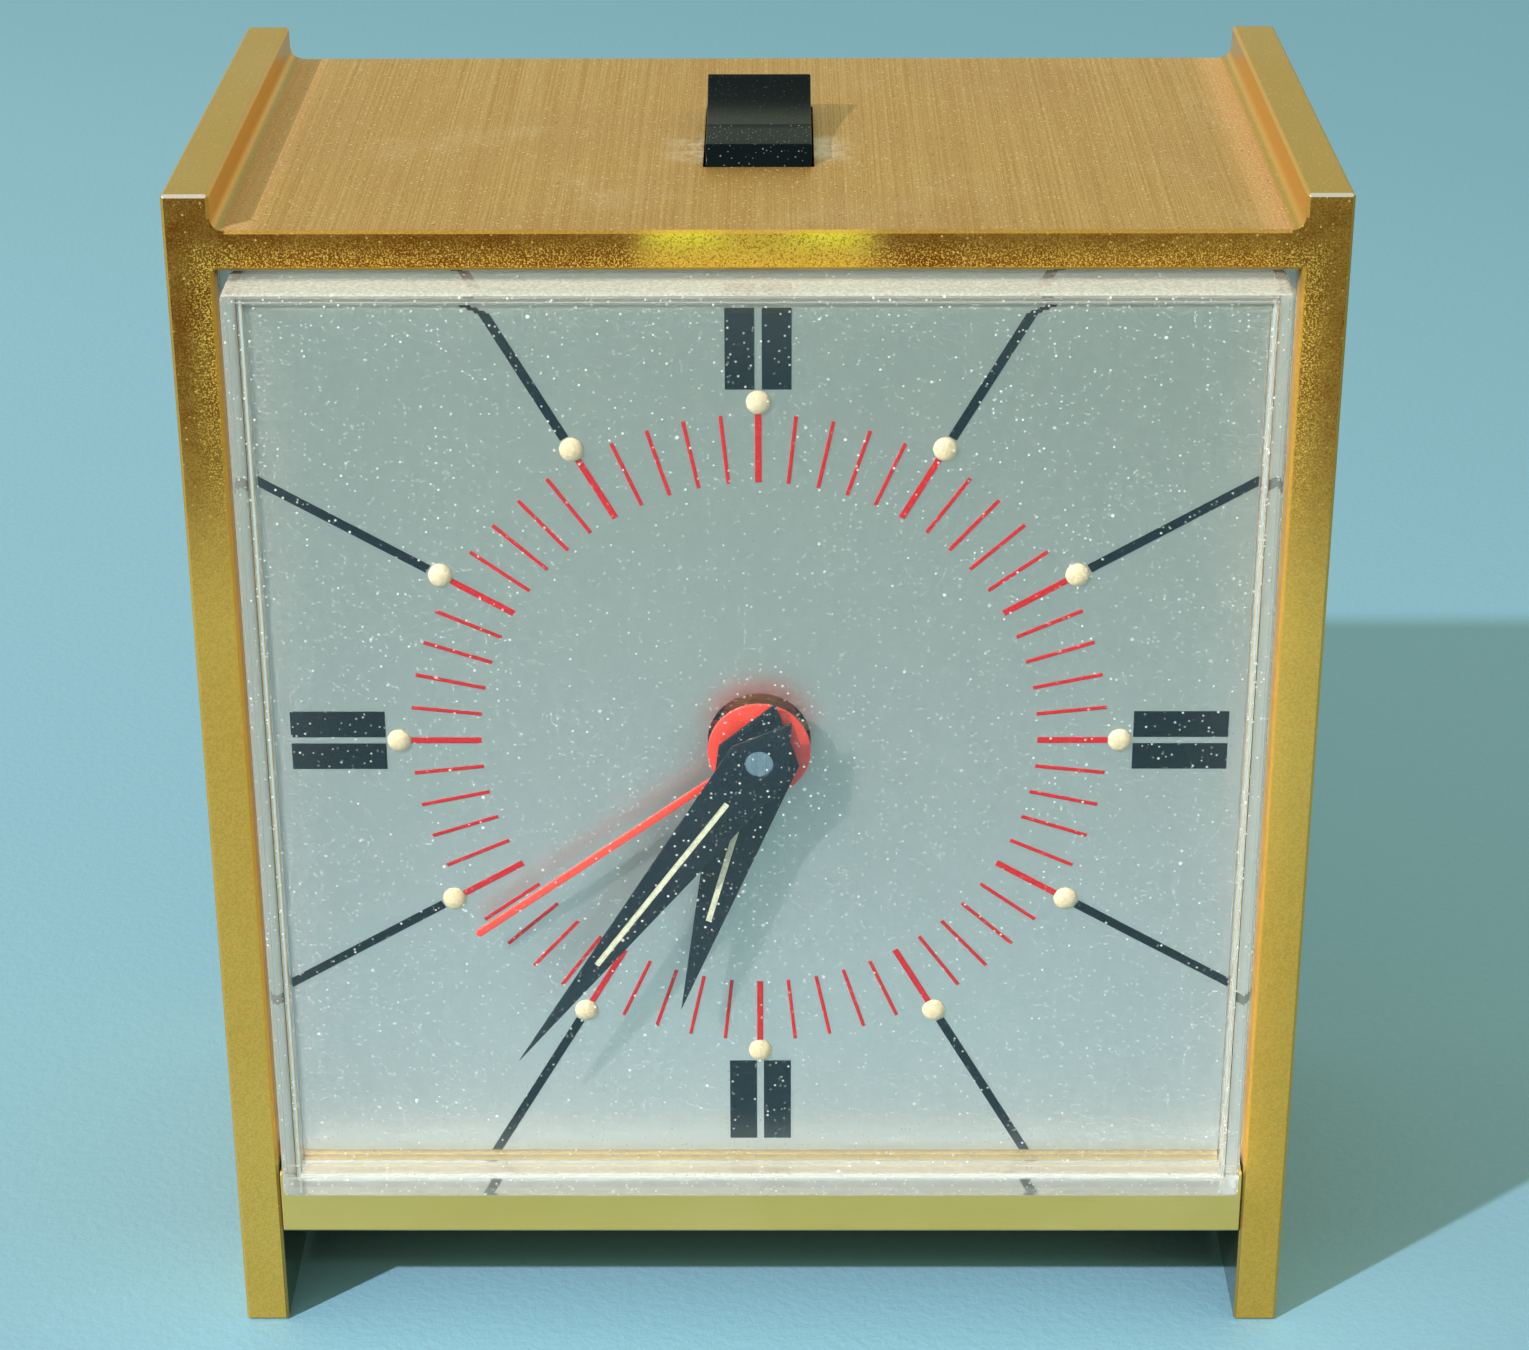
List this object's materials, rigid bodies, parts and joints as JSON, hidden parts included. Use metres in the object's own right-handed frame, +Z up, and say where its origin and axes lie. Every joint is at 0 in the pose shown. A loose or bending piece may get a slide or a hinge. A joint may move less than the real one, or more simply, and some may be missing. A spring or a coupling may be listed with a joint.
{
  "type": "electronic alarm clock",
  "caption": "Free-standing square alarm clock in a gold frame with raised side walls, a clear box crystal, a rocker key on top and a battery balance movement.",
  "frame": {"origin": "centre of the clock's bounding box in plan, on the surface that its side walls stand on", "axes": "+X to the right seen from the front, +Y from the dial towards the back, +Z up"},
  "size_m": [0.0922, 0.0544, 0.1059],
  "materials": {
    "gold_metal": "gold anodised, fine brushed",
    "clear_acrylic": "clear polished",
    "dial_silver": "silver satin, fine brushed",
    "black_print": "matt printed ink",
    "red_print": "matt printed ink",
    "cream_lume": "matt luminous paint",
    "red_lacquer": "satin fluorescent lacquer",
    "black_lacquer": "gloss lacquer",
    "hand_lume": "matt luminous paint",
    "brass": "satin",
    "steel": "satin",
    "blued_steel": "blued",
    "black_case": "fine moulded texture",
    "black_gloss": "polished",
    "white_nylon": "moulded",
    "magnet": "sintered",
    "copper_coil": "varnished winding",
    "circuit_green": "solder mask",
    "component_grey": "moulded",
    "battery_jacket": "plain satin jacket"
  },
  "bodies": {
    "clock": {"case_frame": "gold_metal", "bottom_plate": "gold_metal", "crystal": "clear_acrylic", "dial": "dial_silver", "dial_print_black": "black_print", "dial_print_red": "red_print", "lume_dots": "cream_lume", "inner_case": "black_case", "front_plate": "brass", "back_plate": "brass", "plate_pillars": "steel", "movement_screws": "steel", "balance_cock": "brass", "drive_coil": "copper_coil", "circuit_board": "circuit_green", "circuit_parts": "component_grey", "alarm_contact": "brass", "buzzer": "black_case", "key_pin": "steel", "key_carrier": "white_nylon", "key_spring": "steel", "battery": "battery_jacket", "battery_cap": "steel", "contact_plus": "steel", "contact_minus": "steel", "rear_cover": "black_case", "cover_screws": "steel", "base_screws": "steel", "frame_screws": "steel"},
    "minutes": {"minute_hand": "black_lacquer", "minute_hand_lume": "hand_lume", "minute_arbor": "steel"},
    "minute_gear": {"minute_wheel": "brass"},
    "hours": {"hour_hand": "black_lacquer", "hour_hand_lume": "hand_lume", "hour_wheel": "brass"},
    "time_setting": {"time_set_shaft": "brass", "time_set_knob": "black_case"},
    "alarm": {"alarm_hand": "red_lacquer", "alarm_wheel": "brass"},
    "alarm_setting": {"alarm_set_shaft": "brass", "alarm_set_knob": "black_case"},
    "centre_gear": {"centre_wheel": "brass"},
    "third_gear": {"third_wheel": "brass"},
    "fourth_gear": {"fourth_wheel": "brass"},
    "index_gear": {"index_wheel": "brass"},
    "balance": {"balance_wheel": "brass", "balance_magnets": "magnet", "hairspring": "blued_steel"},
    "regulator": {"regulator_lever": "steel"},
    "key": {"alarm_key": "black_gloss"},
    "door": {"battery_door": "black_case"}
  },
  "joints": [
    {"name": "minute_spin", "type": "hinge", "parent": "clock", "child": "minutes", "pos_m": [0, -0.01415, 0.05725], "axis": [0, 1, 0], "continuous": true},
    {"name": "minute_wheel_spin", "type": "hinge", "parent": "clock", "child": "minute_gear", "pos_m": [-0.01039, -0.01415, 0.06325], "axis": [0, 1, 0], "continuous": true},
    {"name": "hour_spin", "type": "hinge", "parent": "clock", "child": "hours", "pos_m": [0, -0.01575, 0.05725], "axis": [0, 1, 0], "continuous": true},
    {"name": "time_set_spin", "type": "hinge", "parent": "clock", "child": "time_setting", "pos_m": [-0.02239, -0.01415, 0.06325], "axis": [0, 1, 0], "continuous": true},
    {"name": "alarm_set_spin", "type": "hinge", "parent": "clock", "child": "alarm_setting", "pos_m": [0.01477, -0.01755, 0.05465], "axis": [0, 1, 0], "continuous": true},
    {"name": "alarm_spin", "type": "hinge", "parent": "clock", "child": "alarm", "pos_m": [0, -0.01755, 0.05725], "axis": [0, 1, 0], "continuous": true},
    {"name": "fourth_spin", "type": "hinge", "parent": "clock", "child": "fourth_gear", "pos_m": [-0.00332, -0.00365, 0.07592], "axis": [0, 1, 0], "continuous": true},
    {"name": "third_spin", "type": "hinge", "parent": "clock", "child": "third_gear", "pos_m": [-0.0082, -0.00625, 0.06545], "axis": [0, 1, 0], "continuous": true},
    {"name": "centre_spin", "type": "hinge", "parent": "clock", "child": "centre_gear", "pos_m": [0, -0.00965, 0.05725], "axis": [0, 1, 0], "continuous": true},
    {"name": "index_spin", "type": "hinge", "parent": "clock", "child": "index_gear", "pos_m": [0.00672, -0.00075, 0.07504], "axis": [0, 1, 0], "continuous": true},
    {"name": "balance_swing", "type": "hinge", "parent": "clock", "child": "balance", "pos_m": [0.01327, 0.00655, 0.07389], "axis": [0, 1, 0], "range_deg": [-135, 135], "stiffness_Nm_per_rad": 0.00004, "deforming": ["hairspring"]},
    {"name": "regulator_turn", "type": "hinge", "parent": "clock", "child": "regulator", "pos_m": [0.01327, 0.01305, 0.07389], "axis": [0, 1, 0], "range_deg": [-15, 15]},
    {"name": "key_rock", "type": "hinge", "parent": "clock", "child": "key", "pos_m": [0, 0.00275, 0.0977], "axis": [-1, 0, 0], "range_deg": [0, 18.8]},
    {"name": "door_swing", "type": "hinge", "parent": "clock", "child": "door", "pos_m": [0, 0.02075, 0.01975], "axis": [-1, 0, 0], "range_deg": [0, 90]}
  ],
  "couplings": [
    {"joint": "minute_wheel_spin", "follows": "minute_spin", "ratio": -0.33333},
    {"joint": "hour_spin", "follows": "minute_spin", "ratio": 0.083333},
    {"joint": "time_set_spin", "follows": "minute_spin", "ratio": 1},
    {"joint": "alarm_spin", "follows": "alarm_set_spin", "ratio": -0.25},
    {"joint": "third_spin", "follows": "fourth_spin", "ratio": -0.16667},
    {"joint": "centre_spin", "follows": "fourth_spin", "ratio": 0.026667},
    {"joint": "index_spin", "follows": "fourth_spin", "ratio": -8}
  ]
}
